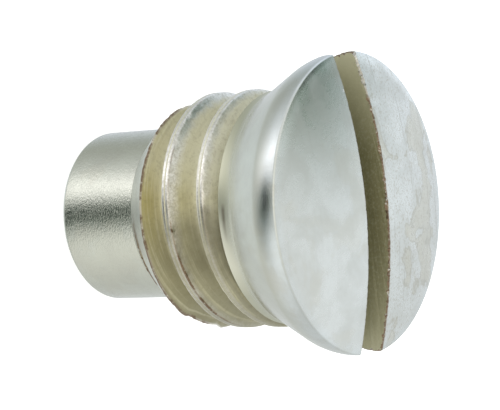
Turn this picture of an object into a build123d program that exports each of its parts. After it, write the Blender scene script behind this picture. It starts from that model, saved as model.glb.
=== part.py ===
from build123d import *
import os
from math import radians, tan

os.makedirs("parts", exist_ok=True)

# Locking screw, turned from one piece of bar and nickel plated.
# +Z runs from the dog point to the head, and the origin is the centre of the flat tip face.

# Dog point: the plain nose below the thread
dog_diameter = 2.90
dog_length = 1.52
dog_edge_radius = 0.10

# Thread: right-hand M4 x 0.7, its first turn trimmed by the lead chamfer
major_diameter = 3.97
pitch = 0.70
thread_depth = 0.42
root_flat = 0.09
flank_angle = 30.0
lead_chamfer_angle = 39.0
threaded_length = 2.16

# Where one crest stands: its lower edge is this far above the shoulder, this far round from +X
crest_mark_rise = 1.08
crest_mark_angle = 264.8

# Neck and flare: a slight waist where the thread ends, then a trumpet shape up to the rim
neck_diameter = 3.88
neck_length = 0.175
flare_angle = 28.3
flare_foot_radius = 0.60
flare_lip_radius = 0.80

# Head
head_diameter = 4.92
rim_land = 0.31
rim_edge_radius = 0.03
dome_rise = 0.37

# Screwdriver slot, straight across the head along X, its depth taken from the top of the dome.
# It was milled a little off the screw's axis, towards -Y.
slot_width = 0.61
slot_depth = 0.94
slot_offset = 0.11

# Heights above the tip face that follow from the sizes above
lead_chamfer_rise = (major_diameter - dog_diameter) / 2 / tan(radians(lead_chamfer_angle))
lead_end_height = dog_length + lead_chamfer_rise
thread_end_height = dog_length + threaded_length
flare_foot_height = thread_end_height + neck_length
flare_lip_height = flare_foot_height + (head_diameter - neck_diameter) / 2 / tan(radians(flare_angle))
rim_height = flare_lip_height + rim_land
overall_height = rim_height + dome_rise
slot_floor_height = overall_height - slot_depth

# The V of the thread: outside it is a little wider than its mouth, but never meets its own next turn
groove_mouth = root_flat + 2 * thread_depth * tan(radians(flank_angle))
crest_flat = pitch - groove_mouth
root_radius = major_diameter / 2 - thread_depth
cutter_reach = crest_flat / 4 / tan(radians(flank_angle))
cutter_radius = major_diameter / 2 + cutter_reach
cutter_mouth = groove_mouth + 2 * cutter_reach * tan(radians(flank_angle))

# The cut starts beside the dog point and runs out past the end of the thread, on a longer bar
groove_on_x = dog_length + crest_mark_rise - pitch * crest_mark_angle / 360 - groove_mouth / 2
turns_below = 2 + int((groove_on_x - dog_length) / pitch)
helix_start = groove_on_x - turns_below * pitch
helix_height = thread_end_height + pitch - helix_start
bar_height = thread_end_height + 2 * pitch

with BuildPart() as thread_groove:
    with BuildLine() as groove_path:
        Helix(pitch=pitch, height=helix_height, radius=root_radius, center=(0, 0, helix_start))
    with BuildSketch(Plane.XZ) as groove_section:
        with BuildLine():
            Polyline(
                (root_radius, helix_start - root_flat / 2),
                (cutter_radius, helix_start - cutter_mouth / 2),
                (cutter_radius, helix_start + cutter_mouth / 2),
                (root_radius, helix_start + root_flat / 2),
                close=True,
            )
        make_face()
    sweep(path=groove_path.wire(), is_frenet=True)

with BuildPart() as threaded_bar:
    with BuildSketch(Plane.XY) as bar_section:
        Circle(major_diameter / 2)
    extrude(amount=bar_height)
    add(thread_groove.part, mode=Mode.SUBTRACT)

# The shank: the threaded bar turned down to its lead chamfer and dog point, and cut to length
with BuildPart() as threaded_shank:
    with BuildSketch(Plane.XZ) as shank_section:
        with BuildLine():
            FilletPolyline(
                (0, thread_end_height),
                (0, 0),
                (dog_diameter / 2, 0),
                (dog_diameter / 2, dog_length),
                (major_diameter / 2, lead_end_height),
                (major_diameter / 2, thread_end_height),
                radius=(0, dog_edge_radius, 0, 0),
            )
            Line((major_diameter / 2, thread_end_height), (0, thread_end_height))
        make_face()
    revolve(axis=Axis.Z)
    add(threaded_bar.part, mode=Mode.INTERSECT)

with BuildPart() as locking_screw:
    # Neck, flare, rim and domed top
    with BuildSketch(Plane.XZ) as head_section:
        with BuildLine():
            FilletPolyline(
                (0, thread_end_height),
                (neck_diameter / 2, thread_end_height),
                (neck_diameter / 2, flare_foot_height),
                (head_diameter / 2, flare_lip_height),
                (head_diameter / 2, rim_height),
                radius=(0, flare_foot_radius, flare_lip_radius),
            )
            TangentArc((0, overall_height), (head_diameter / 2, rim_height), tangent=(1, 0))
            Line((0, overall_height), (0, thread_end_height))
        make_face()
    revolve(axis=Axis.Z)
    rim_edge = locking_screw.edges().filter_by(lambda edge: edge.is_closed).sort_by(Axis.Z)[-1]
    fillet(rim_edge, radius=rim_edge_radius)

    # The slot is milled right across, so it is open at both ends
    with BuildSketch(Plane.XY.offset(slot_floor_height)) as slot_section:
        with Locations((0, -slot_offset)):
            Rectangle(2 * head_diameter, slot_width)
    extrude(amount=slot_depth, mode=Mode.SUBTRACT)

    add(threaded_shank.part)

locking_screw.part.label = "locking_screw"
export_step(locking_screw.part, "parts/locking_screw.step")
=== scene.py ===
import math

import bmesh
import bpy
from mathutils import Matrix, Vector, noise


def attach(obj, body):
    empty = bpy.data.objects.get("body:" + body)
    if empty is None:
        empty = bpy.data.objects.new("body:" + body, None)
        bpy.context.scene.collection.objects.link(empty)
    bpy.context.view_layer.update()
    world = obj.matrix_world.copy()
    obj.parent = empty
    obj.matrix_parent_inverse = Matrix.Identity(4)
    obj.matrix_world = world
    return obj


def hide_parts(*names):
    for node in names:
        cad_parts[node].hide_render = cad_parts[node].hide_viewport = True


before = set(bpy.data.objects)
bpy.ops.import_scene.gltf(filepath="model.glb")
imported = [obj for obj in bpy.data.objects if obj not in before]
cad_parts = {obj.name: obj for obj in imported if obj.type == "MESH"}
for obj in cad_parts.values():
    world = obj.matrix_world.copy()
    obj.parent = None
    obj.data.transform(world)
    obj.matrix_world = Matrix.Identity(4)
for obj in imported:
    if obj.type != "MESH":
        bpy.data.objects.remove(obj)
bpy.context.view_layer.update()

# ---------------------------------------------------------------------------------------------
# The thread: a right-hand M4 x 0.7, cut on the steel bar before it is plated. Its first turn is
# trimmed by the lead chamfer, which guides the screw into its hole.
MM = 0.001
dog_radius = 1.45 * MM
dog_length = 1.52 * MM
major_radius = 1.985 * MM
pitch = 0.70 * MM
thread_depth = 0.42 * MM
root_flat = 0.09 * MM
flank_angle = math.radians(30.0)
flank_rise = thread_depth * math.tan(flank_angle)
crest_flat = pitch - root_flat - 2 * flank_rise
root_radius = major_radius - thread_depth
crest_rounding = 0.014 * MM
root_rounding = 0.040 * MM
thread_end = 3.68 * MM
lead_slope = math.tan(math.radians(39.0))

# The whole screw is shaped unrolled, with x the way round, y the radius and z the height, so
# that the lead chamfer is a flat plane there. It is rolled up round its axis later.
COLUMNS = 480
TURN = 2 * math.pi * MM
CUT_TOLERANCE = 1e-8
CLOSE = 1e-7

# The seam is at the back, and one crest's lower edge is 2.60 mm up on the far side from it
seam_angle = math.radians(84.8)
crest_at_seam = 2.60 * MM - pitch / 2


def lead_radius(height):
    """The lead chamfer's radius at a height."""
    return dog_radius + (height - dog_length) * lead_slope


def chain(bm, points):
    """Vertices at (radius, height) points, joined by edges in their order."""
    verts = [bm.verts.new((0, radius, height)) for radius, height in points]
    for first, second in zip(verts, verts[1:]):
        bm.edges.new((first, second))
    return verts


def round_off(bm, verts, offset, segments):
    """Rounds an outline's corners."""
    bmesh.ops.bevel(bm, geom=verts, offset=offset, segments=segments, profile=0.5,
                    affect='VERTICES', material=-1)


def corners_of(parts):
    """The vertices of edges or faces, each once and always in the same order."""
    return list(dict.fromkeys(v for part in parts for v in part.verts))


def draw_out(bm, climb):
    """Draws the loose outline out for a full turn, in columns. It may climb on the way."""
    wire = [e for e in bm.edges if e.is_wire]
    bmesh.ops.spin(bm, geom=corners_of(wire) + wire, cent=(0, 0, 0), axis=(0, 0, 1),
                   dvec=(TURN, 0, climb), angle=0.0, steps=1)
    round_edges = [e for e in bm.edges if abs(e.verts[0].co.x - e.verts[1].co.x) > TURN / 2]
    bmesh.ops.subdivide_edges(bm, edges=round_edges, cuts=COLUMNS - 1, use_grid_fill=False)


def cut(bm, geom, **options):
    """Cuts the geometry along a plane."""
    bmesh.ops.bisect_plane(bm, geom=geom, dist=CUT_TOLERANCE, **options)


def everything(bm):
    """All that there is of it so far."""
    return bm.verts[:] + bm.edges[:] + bm.faces[:]


# Each crest's outline has a row of points just below its edges too, for the wear there
screw = bmesh.new()
row_depth = 0.035 * MM
row_rise = row_depth * math.tan(flank_angle)
outline = []
for turn in range(-3, 3):
    low = crest_at_seam + turn * pitch
    high = low + crest_flat
    outline.append((major_radius - row_depth, low - row_rise))
    outline.append((major_radius, low))
    outline.append((major_radius, high))
    outline.append((major_radius - row_depth, high + row_rise))
    outline.append((root_radius, high + flank_rise))
    outline.append((root_radius, high + flank_rise + root_flat))
corners = chain(screw, outline)[1:-1]
crest_corners = [v for v in corners if v.co.y > major_radius - CLOSE]
root_corners = [v for v in corners if v.co.y < root_radius + CLOSE]
round_off(screw, crest_corners, crest_rounding, 3)
round_off(screw, root_corners, root_rounding, 2)
shortest_crest, shortest_flank = 0.08 * MM, 0.3 * MM
flanks = [e for e in screw.edges if e.calc_length() > shortest_flank]
bmesh.ops.subdivide_edges(screw, edges=flanks, cuts=6)
crests = [e for e in screw.edges if shortest_crest < e.calc_length() < shortest_flank
          and e.verts[0].co.y > major_radius - CLOSE]
bmesh.ops.subdivide_edges(screw, edges=crests, cuts=2)
draw_out(screw, pitch)
cut(screw, everything(screw), plane_co=(0, 0, dog_length), plane_no=(0, 0, 1),
    clear_inner=True)
cut(screw, everything(screw), plane_co=(0, 0, thread_end), plane_no=(0, 0, 1),
    clear_outer=True)

# The lead chamfer: the crests are cut along its plane and pushed down onto it. The worn ridge
# where the two meet is marked, and so are the crests and the place across the groove.
ridge_width = 0.075 * MM
for gap in (ridge_width, 0, -ridge_width):
    cut(screw, everything(screw), plane_co=(0, dog_radius - gap, dog_length),
        plane_no=(0, 1, -lead_slope))
groove_layer = screw.verts.layers.float.new("groove")
ridge_layer = screw.verts.layers.float.new("ridge")
burr_layer = screw.verts.layers.float.new("burr")
crest_layer = screw.verts.layers.float.new("crest")
PLATED, FILMED, SLOT = 0, 1, 2
for f in screw.faces:
    on_chamfer = all(v.co.y > lead_radius(v.co.z) - CUT_TOLERANCE for v in f.verts)
    f.material_index = PLATED if on_chamfer else FILMED
for v in screw.verts:
    climb = v.co.z - crest_at_seam - pitch * v.co.x / TURN
    v[groove_layer] = ((climb - crest_flat / 2) / pitch) % 1.0
    upper_flank = v[groove_layer] < 0.5
    gap = lead_radius(v.co.z) - v.co.y
    v[ridge_layer] = max(0.0, 1.0 - abs(gap) / ridge_width) * (1.0 if upper_flank else 0.25)
    v[crest_layer] = 1.0 if gap > -0.01 * MM else 0.0
    v.co.y = min(v.co.y, lead_radius(v.co.z))

# ---------------------------------------------------------------------------------------------
# The thread's wear: burrs and nicks in the steel along the crests, left by use. They are worst
# where the first turn runs out of the lead chamfer, which is knocked flat over a short way.
lump_size, grain_size = 0.10, 0.036
long_stretch, short_stretch = 0.38, 0.17
upper_edge_place, upper_edge_width = 0.095, 0.025
lower_edge_place, lower_edge_width = 0.908, 0.030
ridge_lift = 0.006 * MM
burr_height = 0.019 * MM
burr_throw = 0.018 * MM
nick_depth = 0.012 * MM
knock_depth = 0.055 * MM
knock_top = 2.42
worn_from = dog_length + 0.03 * MM
worn_to = thread_end - 0.01 * MM


def fade(value, start, full):
    """0 before the start, 1 past the full value, and smooth between them."""
    share = min(1.0, max(0.0, (value - start) / (full - start)))
    return share * share * (3 - 2 * share)


for v in screw.verts:
    if not worn_from <= v.co.z <= worn_to:
        continue
    angle = seam_angle + v.co.x / MM
    turned = math.degrees(angle) % 360.0
    spot = Vector((v.co.y * math.cos(angle), v.co.y * math.sin(angle), v.co.z)) / MM
    coarse = noise.noise(spot / lump_size)
    fine = noise.noise(spot / grain_size + Vector((5, 7, 3)))
    ragged = fade(coarse + 0.6 * fine, -0.05, 0.45)
    stretches = noise.noise(spot / long_stretch) + 0.5 * noise.noise(spot / short_stretch)
    patchy = 0.3 + 0.7 * fade(stretches + 0.5 * fine, -0.30, 0.35)

    # How harshly this side of the screw was used, and how near the vertex is to a crest's edge
    front = fade(turned, 185.0, 205.0) * fade(-turned, -352.0, -330.0)
    harsh = max(0.15, front * (0.62 + 0.7 * fade(turned, 260.0, 288.0)))
    above = max(0.0, 1.0 - abs(v[groove_layer] - upper_edge_place) / upper_edge_width)
    below = max(0.0, 1.0 - abs(v[groove_layer] - lower_edge_place) / lower_edge_width)
    upper_edge = above * v[crest_layer]
    lower_edge = below * v[crest_layer]
    first_crests = fade(-spot.z, -3.25, -2.95)
    crest_wear = (0.4 + 0.3 * fade(turned, 255.0, 280.0)) * upper_edge * first_crests
    worn = max(v[ridge_layer], crest_wear)

    v[burr_layer] = min(1.0, 1.35 * worn * patchy * harsh)
    raised = worn * patchy * ragged * harsh
    v.co.y += ridge_lift * v[ridge_layer] + burr_height * raised * (0.6 + fine)
    v.co.z += burr_throw * raised * (upper_edge + fine)
    nicked = max(upper_edge, 0.6 * lower_edge, 0.7 * v[ridge_layer])
    v.co.y -= nick_depth * nicked * fade(-coarse + 0.5 * fine, 0.0, 0.5)
    if spot.z < knock_top:
        knocked = fade(turned, 325.0, 333.0) * fade(-turned, -355.0, -351.0)
        v.co.y -= knock_depth * knocked * fade(spot.xy.length, 1.70, 1.90)

# ---------------------------------------------------------------------------------------------
# The dog point: the plain nose of the steel bar, turned down smaller than the thread. It enters
# the hole or notch that the screw locks.
dog_top = dog_length - 0.02 * MM
tip_rounding = 0.10 * MM
nose = chain(screw, [(0, 0), (0.6 * dog_radius, 0), (dog_radius, 0), (dog_radius, dog_top)])
round_off(screw, [nose[2]], tip_rounding, 6)
long_edges = [e for e in screw.edges if e.is_wire and e.calc_length() > 1.0 * MM]
bmesh.ops.subdivide_edges(screw, edges=long_edges, cuts=5)
draw_out(screw, 0)

# ---------------------------------------------------------------------------------------------
# The head: neck, trumpet flare, rim and domed top, turned from the same steel bar in one with
# the shank. The flare's foot and lip are rounded, and the rim's edge is only just broken.
neck_radius = 1.94 * MM
head_radius = 2.46 * MM
flare_angle = math.radians(28.3)
flare_foot = thread_end + 0.175 * MM
flare_lip = flare_foot + (head_radius - neck_radius) / math.tan(flare_angle)
foot_rounding = 0.60 * MM
lip_rounding = 0.80 * MM
edge_rounding = 0.03 * MM
rim_height = flare_lip + 0.31 * MM
dome_rise = 0.37 * MM
dome_radius = (head_radius ** 2 + dome_rise ** 2) / 2 / dome_rise
dome_middle = (0, 0, rim_height + dome_rise - dome_radius)

neck_bottom = thread_end + 0.012 * MM
head = chain(screw, [(neck_radius, neck_bottom), (neck_radius, flare_foot),
                     (head_radius, flare_lip), (head_radius, rim_height)])
bmesh.ops.spin(screw, geom=[head[3]], cent=dome_middle, axis=(1, 0, 0), dvec=(0, 0, 0),
               angle=math.asin(head_radius / dome_radius), steps=26)
round_off(screw, [head[1]], foot_rounding * math.tan(flare_angle / 2), 8)
round_off(screw, [head[2]], lip_rounding * math.tan(flare_angle / 2), 8)
round_off(screw, [head[3]], edge_rounding, 4)
long_edges = [e for e in screw.edges if e.is_wire and e.calc_length() > 0.25 * MM]
bmesh.ops.subdivide_edges(screw, edges=long_edges, cuts=5)
draw_out(screw, 0)

# Dog point, thread and head are rolled up and joined
for v in screw.verts:
    angle = seam_angle + v.co.x / MM
    v.co = Vector((v.co.y * math.cos(angle), v.co.y * math.sin(angle), v.co.z))
bmesh.ops.remove_doubles(screw, verts=screw.verts[:], dist=3e-8)


def open_ring(height):
    """The open edges that lie at one height."""
    return [e for e in screw.edges if e.is_boundary
            and all(abs(v.co.z - height) < CLOSE for v in e.verts)]


bmesh.ops.bridge_loops(screw, edges=open_ring(dog_top) + open_ring(dog_length))
bmesh.ops.bridge_loops(screw, edges=open_ring(thread_end) + open_ring(neck_bottom))

# ---------------------------------------------------------------------------------------------
# The driver slot: milled straight across the head along X, open at both ends, a little off the
# axis. Its lips were left sharp and have since turned ragged, with a few chips.
slot_width = 0.61 * MM
slot_middle = -0.11 * MM
slot_floor = rim_height + dome_rise - 0.94 * MM
half_opening = slot_width / 2 + 0.050 * MM
below_slot = slot_floor - 0.3 * MM


def with_edges(faces):
    """The faces with their vertices and edges."""
    return corners_of(faces) + list(dict.fromkeys(e for f in faces for e in f.edges)) + faces


def in_slot(f):
    """Whether a face lies between the slot's two sides."""
    return abs(f.calc_center_median().y - slot_middle) < half_opening


def mouth_edges():
    """The open edges along the slot's two long sides."""
    return [e for e in screw.edges if e.is_boundary
            and all(abs(abs(v.co.y - slot_middle) - half_opening) < CLOSE for v in e.verts)]


for side in (1, -1):
    near_slot = [f for f in screw.faces if f.calc_center_median().z > below_slot]
    cut(screw, with_edges(near_slot), plane_no=(0, 1, 0),
        plane_co=(0, slot_middle + side * half_opening, 0))
between = [f for f in screw.faces if in_slot(f) and f.calc_center_median().z > below_slot]
cut(screw, with_edges(between), plane_co=(0, 0, slot_floor), plane_no=(0, 0, 1))
waste = [f for f in screw.faces if in_slot(f) and f.calc_center_median().z > slot_floor]
bmesh.ops.delete(screw, geom=waste, context='FACES')
for longest in (0.16 * MM, 0.08 * MM, 0.04 * MM, 0.02 * MM):
    long_edges = [e for e in mouth_edges() if e.calc_length() > longest]
    bmesh.ops.subdivide_edges(screw, edges=long_edges, cuts=1)

# Its lips: a narrow ragged bevel, wider towards one end of the far wall and finer on the near
# one. A chip is its place along the slot, half its length and its depth, in mm.
chips = ((-1.66, 0.05, 0.030), (-0.20, 0.03, 0.016), (0.10, 0.07, 0.034), (1.35, 0.04, 0.014))
narrowest, widest = 0.008, 0.046
notch_size, grit_size = 0.07, 0.03
screw.normal_update()
lips = mouth_edges()
outward = {}
for v in corners_of(lips):
    way = Vector((v.normal.x, 0, v.normal.z)).normalized()
    outward[tuple(v.co)] = way if way.dot(v.co - Vector((0, 0, thread_end))) > 0 else -way


def bevel_width(v):
    """How wide the broken edge is beside a vertex."""
    at = v.co / MM
    uneven = noise.noise(at / notch_size) + 0.6 * noise.noise(at / grit_size)
    ragged = fade(uneven, -0.1, 0.6)
    width = 0.011 + 0.025 * ragged
    if v.co.y < slot_middle:
        width = narrowest + 0.35 * (width - narrowest)
    else:
        width += 0.010 * fade(-at.x, 1.55, 2.0)
        width += sum(deep * max(0.0, 1 - ((at.x - x) / half) ** 2) for x, half, deep in chips)
    return min(width, widest) * MM


def new_verts(made):
    """The vertices among what an operator has made."""
    return [g for g in made if isinstance(g, bmesh.types.BMVert)]


# The far lip is brown with wear, apart from its chips and its bright end
made = bmesh.ops.extrude_edge_only(screw, edges=lips)["geom"]
for v in new_verts(made):
    side = 1 if v.co.y > slot_middle else -1
    way = outward[tuple(v.co)]
    radius = v.co.xy.length
    old_y = v.co.y
    v.co.y = slot_middle + side * (slot_width / 2 + bevel_width(v))
    if v.co.z > rim_height:
        v.co.z += (old_y ** 2 - v.co.y ** 2) / 2 / dome_radius
    else:
        v.co.x = math.copysign(math.sqrt(radius ** 2 - v.co.y ** 2), v.co.x)
    chipped = max(0.0, *(1 - ((v.co.x / MM - x) / half) ** 2 for x, half, deep in chips))
    far_burr = 0.55 * fade(v.co.x, -1.6 * MM, -1.2 * MM) * (1 - chipped)
    v[burr_layer] = max(0.2, far_burr) if side > 0 else 0.2
    outward[tuple(v.co)] = way
inner_edges = [g for g in made if isinstance(g, bmesh.types.BMEdge) and g.is_boundary]
made = bmesh.ops.extrude_edge_only(screw, edges=inner_edges)["geom"]
for v in new_verts(made):
    side = 1 if v.co.y > slot_middle else -1
    way = outward[tuple(v.co)]
    height = v.co.z
    v.co -= way * bevel_width(v) * 1.1
    v.co.y = slot_middle + side * slot_width / 2
    v[burr_layer] = max(0.28, fade(v.co.x, -1.9 * MM, -1.5 * MM)) if side > 0 else 0.6
    if height < rim_height:
        v[burr_layer] = 0.8
    if abs(height - slot_floor) < CLOSE:
        v.co.z = slot_floor


def on_floor(v):
    """Whether a vertex lies at the height of the slot's floor."""
    return abs(v.co.z - slot_floor) < CLOSE


# The two walls and the floor
open_edges = [e for e in screw.edges if e.is_boundary]
for side in (1, -1):
    wall = slot_middle + side * slot_width / 2
    wall_edges = [e for e in open_edges if all(abs(v.co.y - wall) < CLOSE for v in e.verts)]
    ends = [v for v in corners_of(wall_edges) if on_floor(v)]
    wall_edges.append(screw.edges.new(ends))
    for f in bmesh.ops.contextual_create(screw, geom=wall_edges)["faces"]:
        f.material_index = SLOT
floor_edges = [e for e in screw.edges if e.is_boundary and all(on_floor(v) for v in e.verts)]
for f in bmesh.ops.contextual_create(screw, geom=floor_edges)["faces"]:
    f.material_index = SLOT
bmesh.ops.recalc_face_normals(screw, faces=screw.faces[:])
for f in screw.faces:
    f.smooth = f.material_index != SLOT

mesh = bpy.data.meshes.new("screw_body")
screw.to_mesh(mesh)
screw.free()
mesh.set_sharp_from_angle(angle=math.radians(35))
screw_body = bpy.data.objects.new("screw_body", mesh)
bpy.context.scene.collection.objects.link(screw_body)

# ---------------------------------------------------------------------------------------------
# The nickel plate over the steel: satin, with orange peel on the dog point, rubbed bright on
# the ridges and brown on the burrs, and tarnished, stained, pitted and scratched on the dome.


def node(tree, kind, inputs=(), **settings):
    """A node in the tree. Each input is (socket, value), and a value may be an output."""
    made = tree.nodes.new(kind)
    for name, value in settings.items():
        setattr(made, name, value)
    for socket, value in inputs:
        if isinstance(value, bpy.types.NodeSocket):
            tree.links.new(value, made.inputs[socket])
        else:
            made.inputs[socket].default_value = value
    return made


def ramp(tree, value, start, end, low=0.0, high=1.0):
    """Runs from low to high while the value runs from start to end, and stops there."""
    return node(tree, 'ShaderNodeMapRange', [
        ("Value", value), ("From Min", start), ("From Max", end),
        ("To Min", low), ("To Max", high)]).outputs[0]


def spread(tree, share, low, high):
    """Runs from low to high with a share of 0 to 1."""
    return ramp(tree, share, 0.0, 1.0, low, high)


def soft_ramp(tree, value, start, end):
    """Runs from 0 to 1 as a ramp does, but eased at both ends."""
    return node(tree, 'ShaderNodeMapRange', [
        ("Value", value), ("From Min", start), ("From Max", end)],
        interpolation_type='SMOOTHSTEP').outputs[0]


def maths(tree, operation, *values):
    """One step of arithmetic on one or two values."""
    return node(tree, 'ShaderNodeMath', enumerate(values), operation=operation).outputs[0]


def times(tree, first, second):
    """The product of two values."""
    return maths(tree, 'MULTIPLY', first, second)


def plus(tree, first, second):
    """The sum of two values."""
    return maths(tree, 'ADD', first, second)


def most(tree, first, second):
    """The larger of two values."""
    return maths(tree, 'MAXIMUM', first, second)


def noise_in(tree, place, scale, detail, roughness=0.5, distortion=0.0):
    """Plain noise in a place."""
    return node(tree, 'ShaderNodeTexNoise', [
        ("Vector", place), ("Scale", scale), ("Detail", detail),
        ("Roughness", roughness), ("Distortion", distortion)]).outputs[0]


def layered(tree, colour, *layers):
    """Tones laid over a colour one by one, each by its own amount."""
    for amount, tone in layers:
        colour = node(tree, 'ShaderNodeMix', [(0, amount), (6, colour), (7, tone)],
                      data_type='RGBA').outputs[2]
    return colour


def new_group(name, inputs, outputs):
    """A shader node group with named inputs and outputs."""
    group = bpy.data.node_groups.new(name, 'ShaderNodeTree')
    for label, kind, value in inputs:
        socket = group.interface.new_socket(name=label, in_out='INPUT', socket_type=kind)
        socket.default_value = value
    for label, kind in outputs:
        group.interface.new_socket(name=label, in_out='OUTPUT', socket_type=kind)
    return group, node(group, 'NodeGroupInput').outputs, node(group, 'NodeGroupOutput').inputs


def use_group(tree, group, inputs):
    """One use of a node group: its outputs."""
    return node(tree, 'ShaderNodeGroup', inputs, node_tree=group).outputs


def new_material(name):
    """A material, with its tree, its Principled shader and its object coordinate."""
    material = bpy.data.materials.new(name)
    material.use_nodes = True
    tree = material.node_tree
    place = node(tree, 'ShaderNodeTexCoord').outputs["Object"]
    return material, tree, tree.nodes["Principled BSDF"], place


def marked(tree, layer):
    """What the mesh was marked with while it was shaped."""
    return node(tree, 'ShaderNodeAttribute', attribute_name=layer).outputs["Fac"]


def split(tree, place):
    """The place's X, Y and Z, where X runs along the slot and Z up the screw."""
    return node(tree, 'ShaderNodeSeparateXYZ', [(0, place)]).outputs


def roughen(tree, shader, height, distance):
    """Raises the surface by a height, up to a distance."""
    bump = node(tree, 'ShaderNodeBump', [("Height", height), ("Distance", distance),
                                         ("Strength", 1.0)])
    tree.links.new(bump.outputs[0], shader.inputs["Normal"])


# Plating grain: fine orange peel, drawn out a little the way the metal was turned
grain, given, result = new_group(
    "plating grain",
    [("Coordinate", 'NodeSocketVector', (0, 0, 0)), ("Scale", 'NodeSocketFloat', 30000.0),
     ("Fine Share", 'NodeSocketFloat', 0.3)],
    [("Height", 'NodeSocketFloat')])
drawn_out = node(grain, 'ShaderNodeMapping', [("Vector", given["Coordinate"]),
                                              ("Scale", (1.0, 1.0, 2.6))]).outputs[0]
peel = noise_in(grain, drawn_out, given["Scale"], 2.0, distortion=0.4)
dust = noise_in(grain, given["Coordinate"], times(grain, given["Scale"], 3.1), 1.0)
blend = node(grain, 'ShaderNodeMix', [(0, given["Fine Share"]), (2, peel), (3, dust)])
grain.links.new(blend.outputs[0], result["Height"])


def plating_grain(tree, place, scale, fine_share):
    """The height of the plating's grain."""
    return use_group(tree, grain, [("Coordinate", place), ("Scale", scale),
                                   ("Fine Share", fine_share)])["Height"]


# Smudges: soft uneven patches, from 0 to 1
smudge, given, result = new_group(
    "smudges",
    [("Coordinate", 'NodeSocketVector', (0, 0, 0)), ("Scale", 'NodeSocketFloat', 1500.0),
     ("Start", 'NodeSocketFloat', 0.5), ("Full", 'NodeSocketFloat', 0.7)],
    [("Amount", 'NodeSocketFloat')])
clouds = noise_in(smudge, given["Coordinate"], given["Scale"], 4.0, 0.6, 0.3)
smudge.links.new(soft_ramp(smudge, clouds, given["Start"], given["Full"]), result["Amount"])


def smudges(tree, place, scale, start, full):
    """How smudged each spot is. The noise runs from start to full at a smudge's edge."""
    return use_group(tree, smudge, [("Coordinate", place), ("Scale", scale), ("Start", start),
                                    ("Full", full)])["Amount"]


# Scratches: a few fine straight lines, from 0 to 1
scratch, given, result = new_group(
    "scratches",
    [("Coordinate", 'NodeSocketVector', (0, 0, 0)), ("Scale", 'NodeSocketFloat', 1000.0),
     ("Slant", 'NodeSocketVector', (0, 0, 0)), ("Start", 'NodeSocketFloat', 0.64)],
    [("Amount", 'NodeSocketFloat')])
slanted = node(scratch, 'ShaderNodeMapping', [
    ("Vector", given["Coordinate"]), ("Rotation", given["Slant"]),
    ("Scale", (0.5, 14.0, 1.0))]).outputs[0]
threads = noise_in(scratch, slanted, given["Scale"], 1.0)
scratch.links.new(soft_ramp(scratch, threads, given["Start"], 0.74), result["Amount"])

# Edge line: 1 along one line of the place given by Across, and 0 past its half width
edge_line, given, result = new_group(
    "edge line",
    [("Across", 'NodeSocketFloat', 0.0), ("Place", 'NodeSocketFloat', 0.0),
     ("Half Width", 'NodeSocketFloat', 0.02)],
    [("Amount", 'NodeSocketFloat')])
away = maths(edge_line, 'SUBTRACT', given["Across"], given["Place"])
away = maths(edge_line, 'ABSOLUTE', away)
edge_line.links.new(soft_ramp(edge_line, away, given["Half Width"], 0.0), result["Amount"])


def line_at(tree, across, place, half_width):
    """How much of a line lies on each spot."""
    return use_group(tree, edge_line, [("Across", across), ("Place", place),
                                       ("Half Width", half_width)])["Amount"]


# Run-out shade: a painted dark band where the thread ends, on the side towards -Y, fading along
# X
run_out_shade, given, result = new_group(
    "run-out shade",
    [("Coordinate", 'NodeSocketVector', (0, 0, 0)), ("Fade From", 'NodeSocketFloat', 0.0),
     ("Fade To", 'NodeSocketFloat', 0.4 * MM)],
    [("Amount", 'NodeSocketFloat')])
x, y = split(run_out_shade, given["Coordinate"])[:2]
amount = times(run_out_shade, ramp(run_out_shade, x, -0.26 * MM, -0.14 * MM),
               ramp(run_out_shade, x, given["Fade From"], given["Fade To"], 0.85, 0.0))
amount = times(run_out_shade, amount, ramp(run_out_shade, y, -0.3 * MM, 0.0, 1.0, 0.0))
run_out_shade.links.new(amount, result["Amount"])

# Worn edges: ridges rubbed bright, and burrs turned brown in patches
worn_edges, given, result = new_group(
    "worn edges",
    [("Colour", 'NodeSocketColor', (1, 1, 1, 1)), ("Ridge", 'NodeSocketFloat', 0.0),
     ("Burr", 'NodeSocketFloat', 0.0), ("Patches", 'NodeSocketFloat', 1.0)],
    [("Colour", 'NodeSocketColor'), ("Brown", 'NodeSocketFloat')])
ridge_bright = (0.84, 0.83, 0.79, 1)
burr_brown = (0.20, 0.135, 0.085, 1)
brown = times(worn_edges, ramp(worn_edges, given["Burr"], 0.08, 0.45, 0.0, 0.94),
              spread(worn_edges, given["Patches"], 0.20, 1.0))
colour = layered(worn_edges, given["Colour"],
                 (ramp(worn_edges, given["Ridge"], 0.3, 0.8), ridge_bright),
                 (brown, burr_brown))
worn_edges.links.new(colour, result["Colour"])
worn_edges.links.new(brown, result["Brown"])


def wear_edges(tree, place, colour):
    """The colour with its worn edges, and how brown they are."""
    patches = smudges(tree, place, 22000.0, 0.28, 0.48)
    worn = use_group(tree, worn_edges, [("Colour", colour), ("Ridge", marked(tree, "ridge")),
                                        ("Burr", marked(tree, "burr")), ("Patches", patches)])
    return worn["Colour"], worn["Brown"]


satin_nickel = (0.57, 0.59, 0.53, 1)
land_nickel = (0.64, 0.685, 0.70, 1)
dome_nickel = (0.64, 0.665, 0.655, 1)
rim_highlight_white = (0.93, 0.97, 0.98, 1)
chamfer_nickel = (0.76, 0.78, 0.715, 1)
tarnish_grey = (0.47, 0.475, 0.44, 1)
stain_tan = (0.54, 0.52, 0.43, 1)
stain_rim_brown = (0.33, 0.31, 0.24, 1)
pit_grey = (0.42, 0.40, 0.34, 1)
scratch_grey = (0.34, 0.34, 0.31, 1)
neck_olive = (0.56, 0.565, 0.43, 1)
neck_highlight_cream = (0.85, 0.84, 0.74, 1)
neck_end_shade_brown = (0.27, 0.24, 0.19, 1)

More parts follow.
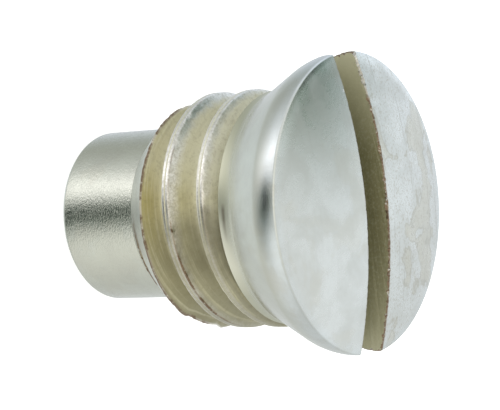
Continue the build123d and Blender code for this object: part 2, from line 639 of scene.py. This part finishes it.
plate, tree, shader, place = new_material("nickel plate")
x, y, height = split(tree, place)
tint = smudges(tree, place, 1900.0, 0.32, 0.68)

# The parts of the screw that have a tone of their own: the head's rim land, the dome and its
# side behind the slot, the lead chamfer, and the neck with the foot of the flare
on_land = ramp(tree, height, rim_height - 0.42 * MM, rim_height - 0.16 * MM)
on_dome = ramp(tree, height, rim_height - 0.02 * MM, rim_height + 0.05 * MM)
behind_slot = times(tree, on_dome, ramp(tree, y, -0.6 * MM, 0.4 * MM))
on_chamfer = times(tree, ramp(tree, height, dog_length, dog_length + 0.04 * MM),
                   ramp(tree, height, thread_end - 0.3 * MM, thread_end - 0.2 * MM, 1.0, 0.0))
foot_line = plus(tree, height, spread(tree, tint, -0.03 * MM, 0.03 * MM))
on_neck = times(tree, ramp(tree, foot_line, thread_end + 0.12 * MM, thread_end + 0.46 * MM,
                           1.0, 0.0),
                ramp(tree, height, thread_end - 0.2 * MM, thread_end))
# Painted highlight: the neck painted pale cream between about x = 0 and 1 mm
neck_highlight = times(tree, on_neck, ramp(tree, x, -0.2 * MM, 0.1 * MM, 0.0, 0.5))
neck_highlight = times(tree, neck_highlight, ramp(tree, x, 0.8 * MM, 1.3 * MM, 1.0, 0.0))

# What lies over it: a painted highlight along the rim, strongest on its -X side, tarnish,
# stains with darker rims, pits, scratches and a painted dark band on the neck where the thread
# runs out
# Painted highlight: the rim is painted near white towards -X
rim_highlight = times(tree, line_at(tree, height, rim_height + 0.01 * MM, 0.07 * MM),
                   ramp(tree, x, -1.4 * MM, -0.4 * MM, 0.75, 0.0))
stain = smudges(tree, place, 900.0, 0.52, 0.60)
stain_rim = line_at(tree, stain, 0.45, 0.40)
pits = smudges(tree, place, 26000.0, 0.48, 0.68)
pitted = most(tree, spread(tree, behind_slot, 0.04, 0.60), times(tree, on_chamfer, 0.35))
scratches = use_group(tree, scratch, [("Coordinate", place), ("Scale", 900.0),
                                      ("Slant", (0.0, 0.0, 0.45)), ("Start", 0.63)])["Amount"]
# Painted shade: a dark band on the neck just above the thread's end, on the -Y side
end_line = line_at(tree, height, thread_end + 0.11 * MM, 0.06 * MM)
end_shade = use_group(tree, run_out_shade, [("Coordinate", place), ("Fade From", 0.0),
                                  ("Fade To", 0.40 * MM)])["Amount"]
colour = layered(
    tree, satin_nickel,
    (on_land, land_nickel),
    (on_dome, dome_nickel),
    (rim_highlight, rim_highlight_white),
    (on_chamfer, chamfer_nickel),
    (times(tree, tint, 0.30), tarnish_grey),
    (times(tree, stain, spread(tree, behind_slot, 0.18, 0.50)), stain_tan),
    (times(tree, stain_rim, spread(tree, behind_slot, 0.03, 0.38)), stain_rim_brown),
    (times(tree, pits, pitted), pit_grey),
    (times(tree, scratches, spread(tree, behind_slot, 0.04, 0.32)), scratch_grey),
    (times(tree, on_neck, ramp(tree, x, -0.4 * MM, 0.3 * MM, 0.8, 0.6)), neck_olive),
    (neck_highlight, neck_highlight_cream),
    (times(tree, end_line, end_shade), neck_end_shade_brown))
colour, brown = wear_edges(tree, place, colour)
tree.links.new(colour, shader.inputs["Base Color"])
shader.inputs["Metallic"].default_value = 1

cloudy = smudges(tree, place, 4000.0, 0.3, 0.8)
rough = spread(tree, cloudy, 0.08, 0.14)
rough = plus(tree, rough, ramp(tree, height, 1.5 * MM, 3.9 * MM, 0.0, 0.08))
rough = plus(tree, rough, times(tree, on_land, 0.05))
rough = plus(tree, rough, times(tree, on_dome, spread(tree, tint, 0.01, 0.11)))
rough = most(tree, rough, times(tree, on_chamfer, 0.36))
rough = most(tree, rough, times(tree, most(tree, on_neck, brown), 0.42))
tree.links.new(rough, shader.inputs["Roughness"])
peel_share = ramp(tree, height, 1.4 * MM, 3.9 * MM, 1.0, 0.18)
peel = times(tree, plating_grain(tree, place, 20000.0, 0.3), peel_share)
roughen(tree, shader, peel, 0.0070 * MM)

# ---------------------------------------------------------------------------------------------
# The film in the thread: a dull olive coat of old cutting oil over the plate, streaked the way
# the thread was cut, painted darker towards +X as painted shade, and worn off the crests down
# to the metal.

# Tool marks: fine lines round the screw, from 0 to 1, with Lines of them in one step of Across
marks, given, result = new_group(
    "tool marks",
    [("Coordinate", 'NodeSocketVector', (0, 0, 0)), ("Across", 'NodeSocketFloat', 0.0),
     ("Lines", 'NodeSocketFloat', 20.0), ("Breaks", 'NodeSocketFloat', 2.0)],
    [("Height", 'NodeSocketFloat')])
flat = node(marks, 'ShaderNodeVectorMath', [(0, given["Coordinate"]), (1, (1, 1, 0))],
            operation='MULTIPLY').outputs[0]
round_way = node(marks, 'ShaderNodeVectorMath', [(0, flat)], operation='NORMALIZE').outputs[0]
broken = node(marks, 'ShaderNodeVectorMath', [(0, round_way), ("Scale", given["Breaks"])],
              operation='SCALE').outputs[0]
lift = node(marks, 'ShaderNodeCombineXYZ', [(2, times(marks, given["Across"], given["Lines"]))])
where = node(marks, 'ShaderNodeVectorMath', [(0, broken), (1, lift.outputs[0])],
             operation='ADD').outputs[0]
marks.links.new(noise_in(marks, where, 1.0, 3.0, 0.6), result["Height"])


def tool_marks(tree, place, across, lines, breaks):
    """The height of the marks."""
    return use_group(tree, marks, [("Coordinate", place), ("Across", across), ("Lines", lines),
                                   ("Breaks", breaks)])["Height"]


film_olive = (0.455, 0.400, 0.165, 1)
film_pale = (0.74, 0.73, 0.58, 1)
streak_brown = (0.30, 0.26, 0.12, 1)
film_shade_olive = (0.42, 0.40, 0.28, 1)
mark_pale = (0.68, 0.65, 0.46, 1)
root_highlight_cream = (0.88, 0.85, 0.68, 1)
crest_grey = (0.64, 0.62, 0.57, 1)
crest_frost = (0.88, 0.86, 0.83, 1)
crest_shade_grey = (0.50, 0.48, 0.38, 1)
highlight_pale = (0.95, 0.97, 0.93, 1)
reflection_dark_brown = (0.18, 0.165, 0.10, 1)
speck_brown = (0.27, 0.24, 0.14, 1)
edge_shade_dark = (0.20, 0.19, 0.12, 1)
edge_highlight_white = (0.94, 0.93, 0.90, 1)
groove_end_shade_dark = (0.22, 0.20, 0.14, 1)

film, tree, shader, place = new_material("thread film")
parts = split(tree, place)
x, height = parts["X"], parts["Z"]
across = marked(tree, "groove")
streaks = tool_marks(tree, place, across, 9.0, 3.0)
fine_marks = tool_marks(tree, place, across, 30.0, 1.1)
mottle = smudges(tree, place, 6000.0, 0.2, 0.8)
# Painted shade: a mask that darkens the film and the crests towards +X
shaded_side = ramp(tree, x, -0.4 * MM, 0.8 * MM)

# How far the groove is filmed, from its middle outwards: more on the +X side, where shade is
# painted, in the last turn and above all in the first one
groove_middle = 0.53
reach = maths(tree, 'ABSOLUTE', maths(tree, 'SUBTRACT', across, groove_middle))
for further in (spread(tree, streaks, -0.05, 0.05),
                spread(tree, mottle, -0.03, 0.03),
                times(tree, shaded_side, -0.07),
                ramp(tree, height, 2.9 * MM, 3.3 * MM, 0.0, -0.06),
                ramp(tree, height, 2.08 * MM, 2.26 * MM, -0.14, 0.0)):
    reach = plus(tree, reach, further)
filmed = ramp(tree, reach, 0.27, 0.38, 1.0, 0.0)
towards_head = ramp(tree, height, 2.1 * MM, 3.7 * MM)
dark_streaks = ramp(tree, streaks, 0.25, 0.5, 0.45, 0.0)
pale_marks = times(tree, ramp(tree, fine_marks, 0.49, 0.64), spread(tree, shaded_side, 0.4, 0.9))
# Painted highlight: the film painted pale cream towards each root, less towards +X
root_highlight = times(tree, ramp(tree, across, 0.30, 0.47, 0.0, 0.60),
                   spread(tree, shaded_side, 1.0, 0.15))
olive = layered(
    tree, film_olive,
    (towards_head, film_pale),
    (dark_streaks, streak_brown),
    (times(tree, shaded_side, 0.75), film_shade_olive),
    (pale_marks, mark_pale),
    (root_highlight, root_highlight_cream))

# The metal on the crests is frosted by small knocks, and painted darker towards +X as painted
# shade
frosted = smudges(tree, place, 26000.0, 0.40, 0.62)
bare = layered(tree, crest_grey,
               (frosted, crest_frost),
               (times(tree, shaded_side, 0.6), crest_shade_grey))

# Over both lie a painted dark reflection in a band across about x = 0 to 1 mm, fine specks,
# painted shade furthest towards +X, a painted highlight along the crests' lower edges and a
# painted dark patch where the thread ends. The -X side is painted paler, a painted highlight.
# Painted highlight: the thread painted paler on its -X side
highlight_side = ramp(tree, x, -0.95 * MM, -0.35 * MM, 0.28, 0.0)
# Painted shade: the thread painted darker furthest towards +X
edge_shade = ramp(tree, x, 1.00 * MM, 1.75 * MM, 0.0, 0.42)
streaky_x = plus(tree, x, spread(tree, streaks, -0.15 * MM, 0.15 * MM))
# Painted dark reflection: a band from about x = 0 to 1 mm, streaky at its edge and mottled
dark_reflection_band = times(tree, ramp(tree, streaky_x, -0.22 * MM, 0.16 * MM),
               ramp(tree, x, 0.75 * MM, 1.20 * MM, 1.0, 0.0))
dark_reflection_band = times(tree, dark_reflection_band, ramp(tree, height, 2.2 * MM, 2.6 * MM, 0.25, 1.0))
specks = smudges(tree, place, 15000.0, 0.46, 0.70)
# Painted highlight along the crests' lower edges, weaker in the painted dark band and towards
# +X
crest_edge_highlight = times(tree, line_at(tree, across, 0.905, 0.05),
                    spread(tree, dark_reflection_band, 1.0, 0.25))
crest_edge_highlight = times(tree, crest_edge_highlight, spread(tree, shaded_side, 1.0, 0.6))
# Painted shade: a dark patch by the crests of the last turn where the thread ends, on the -Y
# side
end_shade = use_group(tree, run_out_shade, [("Coordinate", place), ("Fade From", 0.20 * MM),
                                  ("Fade To", 0.75 * MM)])["Amount"]
end_shade = times(tree, line_at(tree, across, 0.08, 0.16), end_shade)
end_shade = times(tree, end_shade, ramp(tree, height, 3.15 * MM, 3.25 * MM, 0.0, 0.8))
colour = layered(
    tree, bare,
    (filmed, olive),
    (highlight_side, highlight_pale),
    (times(tree, dark_reflection_band, spread(tree, mottle, 0.32, 0.54)), reflection_dark_brown),
    (times(tree, specks, 0.26), speck_brown),
    (edge_shade, edge_shade_dark),
    (crest_edge_highlight, edge_highlight_white),
    (end_shade, groove_end_shade_dark))
colour, brown = wear_edges(tree, place, colour)
tree.links.new(colour, shader.inputs["Base Color"])
tree.links.new(spread(tree, filmed, 1.0, 0.15), shader.inputs["Metallic"])
tree.links.new(spread(tree, filmed, 0.28, 0.48), shader.inputs["Roughness"])
peel = times(tree, plating_grain(tree, place, 26000.0, 0.4), 0.5)
roughen(tree, shader, plus(tree, peel, times(tree, fine_marks, 0.5)), 0.0060 * MM)

# ---------------------------------------------------------------------------------------------
# The film in the driver slot: the same dull coat on the milled walls and floor, its colour kept
# dark as painted shade for the slot's middle and painted paler towards its two open ends as
# painted light.
shaded_slot_olive = (0.265, 0.25, 0.14, 1)
slot_dark = (0.225, 0.215, 0.115, 1)
slot_end_light = (0.57, 0.56, 0.41, 1)
slot_spot_pale = (0.55, 0.54, 0.40, 1)

slot_film, tree, shader, place = new_material("slot film")
x = split(tree, place)["X"]
uneven = smudges(tree, place, 3000.0, 0.3, 0.7)
spots = smudges(tree, place, 24000.0, 0.45, 0.70)
# Painted light: the slot painted paler towards its two open ends
ends = plus(tree, ramp(tree, x, -2.5 * MM, -0.75 * MM, 0.90, 0.0),
            ramp(tree, x, 0.5 * MM, 2.4 * MM, 0.0, 0.55))
colour = layered(tree, shaded_slot_olive,
                 (uneven, slot_dark),
                 (ends, slot_end_light),
                 (times(tree, spots, 0.3), slot_spot_pale))
tree.links.new(colour, shader.inputs["Base Color"])
shader.inputs["Metallic"].default_value = 0.1
shader.inputs["Roughness"].default_value = 0.5
roughen(tree, shader, plating_grain(tree, place, 40000.0, 0.4), 0.0030 * MM)

# In the order of PLATED, FILMED and SLOT
for material in (plate, film, slot_film):
    mesh.materials.append(material)
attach(screw_body, "root")
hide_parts("locking_screw")

# ---------------------------------------------------------------------------------------------
# The floor: plain pale matt board. It shows white to the camera and stays out of the metal's
# reflections.
floor_mesh = bpy.data.meshes.new("floor")
board = bmesh.new()
bmesh.ops.create_grid(board, x_segments=1, y_segments=1, size=0.5)
board.to_mesh(floor_mesh)
board.free()
floor = bpy.data.objects.new("floor", floor_mesh)
bpy.context.scene.collection.objects.link(floor)
floor_paint = bpy.data.materials.new("pale floor")
floor_paint.use_nodes = True
tree = floor_paint.node_tree
paint = tree.nodes["Principled BSDF"]
paint.inputs["Base Color"].default_value = (0.9, 0.9, 0.9, 1)
paint.inputs["Roughness"].default_value = 0.8
paint.inputs["Emission Color"].default_value = (1, 1, 1, 1)
seen = node(tree, 'ShaderNodeLightPath').outputs["Is Camera Ray"]
tree.links.new(times(tree, seen, 0.62), paint.inputs["Emission Strength"])
floor_mesh.materials.append(floor_paint)
floor.visible_glossy = False

# ---------------------------------------------------------------------------------------------
# The studio: an even pale tent round the screw, with softer and darker places in it, so that
# the metal has something to show. The camera sees plain white.
world = bpy.data.worlds.new("studio")
bpy.context.scene.world = world
world.use_nodes = True
tree = world.node_tree

# Soft light: a round glow toward one place of the tent, added to the light that is before it
soft_light, given, result = new_group(
    "soft light",
    [("Toward", 'NodeSocketVector', (0, 0, 1)), ("Place", 'NodeSocketVector', (0, 0, 1)),
     ("Tightness", 'NodeSocketFloat', 10.0), ("Colour", 'NodeSocketVector', (0, 0, 0)),
     ("Before", 'NodeSocketVector', (0, 0, 0))],
    [("Light", 'NodeSocketVector')])
nearness = node(soft_light, 'ShaderNodeVectorMath', [(0, given["Toward"]), (1, given["Place"])],
                operation='DOT_PRODUCT').outputs["Value"]
fall = times(soft_light, maths(soft_light, 'SUBTRACT', nearness, 1.0), given["Tightness"])
glow = node(soft_light, 'ShaderNodeVectorMath', [
    (0, given["Colour"]), ("Scale", maths(soft_light, 'EXPONENT', fall))], operation='SCALE')
total = node(soft_light, 'ShaderNodeVectorMath', [(0, glow.outputs[0]), (1, given["Before"])],
             operation='ADD')
soft_light.links.new(total.outputs[0], result["Light"])

# Each has its direction, its tightness and the light that it adds
toward = node(tree, 'ShaderNodeTexCoord').outputs["Generated"]
light = (0.73, 0.74, 0.71)
for direction, tightness, added in (
        ((-0.058, -0.810, 0.584), 4.0, (0.62, 0.60, 0.57)),
        ((-0.580, -0.620, -0.528), 31.0, (1.16, 1.11, 1.13)),
        ((-0.418, -0.436, -0.797), 32.4, (0.66, 0.62, 0.62)),
        ((-0.192, -0.968, -0.163), 15.5, (-0.22, -0.22, -0.22)),
        ((-0.142, -0.699, -0.701), 29.0, (-1.00, -0.95, -0.94)),
        ((0.130, -0.500, -0.856), 24.0, (-0.34, -0.33, -0.33)),
        ((0.340, -0.700, -0.628), 25.0, (0.17, 0.17, 0.17)),
        ((-0.790, -0.240, -0.565), 34.0, (0.12, 0.12, 0.12)),
        ((-0.090, 0.920, 0.380), 30.0, (0.16, 0.17, 0.18)),
        ((0.280, 0.890, 0.360), 30.0, (-0.13, -0.13, -0.14)),
        ((-0.711, 0.359, -0.605), 10.8, (-0.28, -0.31, -0.42)),
        ((-0.450, 0.580, 0.679), 17.0, (-1.18, -1.12, -1.24)),
        ((0.486, -0.791, -0.370), 10.3, (0.32, 0.32, 0.31)),
        ((0.179, 0.707, 0.684), 3.3, (0.39, 0.41, 0.45)),
        ((-0.642, 0.716, -0.274), 3.0, (0.08, 0.14, 0.28)),
        ((-0.040, -0.697, 0.716), 3.4, (-0.16, -0.19, -0.27)),
        ((0.584, -0.274, -0.765), 11.9, (0.22, 0.21, 0.20)),
        ((-0.058, 0.233, -0.971), 17.1, (0.31, 0.36, 0.43))):
    light = use_group(tree, soft_light, [
        ("Toward", toward), ("Place", direction), ("Tightness", tightness), ("Colour", added),
        ("Before", light)])["Light"]
darkest = (0.04, 0.04, 0.04)
lit = node(tree, 'ShaderNodeVectorMath', [(0, light), (1, darkest)], operation='MAXIMUM')
seen = node(tree, 'ShaderNodeLightPath').outputs["Is Camera Ray"]
sky = layered(tree, lit.outputs[0], (seen, (1, 1, 1, 1)))
tree.links.new(sky, tree.nodes["Background"].inputs["Color"])

# ---------------------------------------------------------------------------------------------
# The camera: a long lens above the head's front, with the dog point to its left.
camera_data = bpy.data.cameras.new("camera")
camera_data.lens = 155.3
camera_data.clip_start = 0.002
camera_data.clip_end = 5
camera = bpy.data.objects.new("camera", camera_data)
bpy.context.scene.collection.objects.link(camera)
right = Vector((0.094871, 0.577837, 0.81062))
up = Vector((-0.9938, 0.102394, 0.043319))
back = Vector((-0.057972, -0.809704, 0.583968))
stand = Vector((-2.1544, -29.2439, 24.014)) * MM
turned = Matrix((right, up, back)).transposed().to_4x4()
camera.matrix_world = Matrix.Translation(stand) @ turned
bpy.context.scene.camera = camera
bpy.context.scene.view_settings.view_transform = 'Standard'
